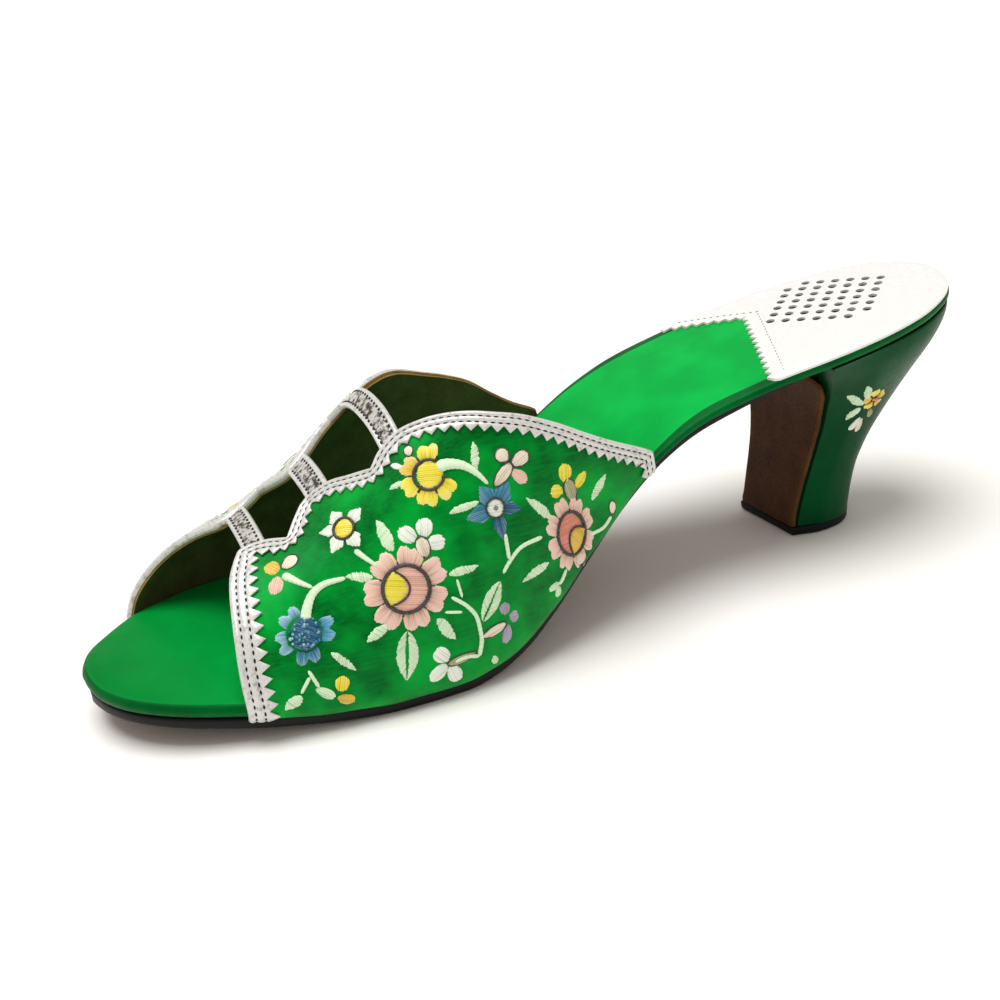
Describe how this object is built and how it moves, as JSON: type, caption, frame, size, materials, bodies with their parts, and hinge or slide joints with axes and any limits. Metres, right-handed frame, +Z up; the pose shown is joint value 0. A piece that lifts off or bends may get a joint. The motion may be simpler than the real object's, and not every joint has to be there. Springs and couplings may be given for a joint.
{
  "type": "boudoir slipper",
  "caption": "Open-toed heeled mule slipper: scalloped embroidered satin side panels joined by straps over a padded insole, on a thin sole with a curved covered heel.",
  "frame": {"origin": "middle of the bounding box, on the floor the shoe stands on", "axes": "+Z up, -Y towards the toe, +X towards the inner side of the foot"},
  "size_m": [0.0771, 0.232, 0.0612],
  "materials": {
    "sole_leather": "dark brown sole leather with a black waxed edge",
    "insole_satin": "green satin over padding",
    "heel_satin": "green satin glued over the block",
    "lift_rubber": "black, slightly worn",
    "panel_satin": "embroidered green satin with silver leather trim and straps"
  },
  "bodies": {
    "root": {"outsole": "sole_leather", "insole": "insole_satin", "heel": "heel_satin", "top_piece": "lift_rubber", "upper": "panel_satin"}
  },
  "joints": []
}
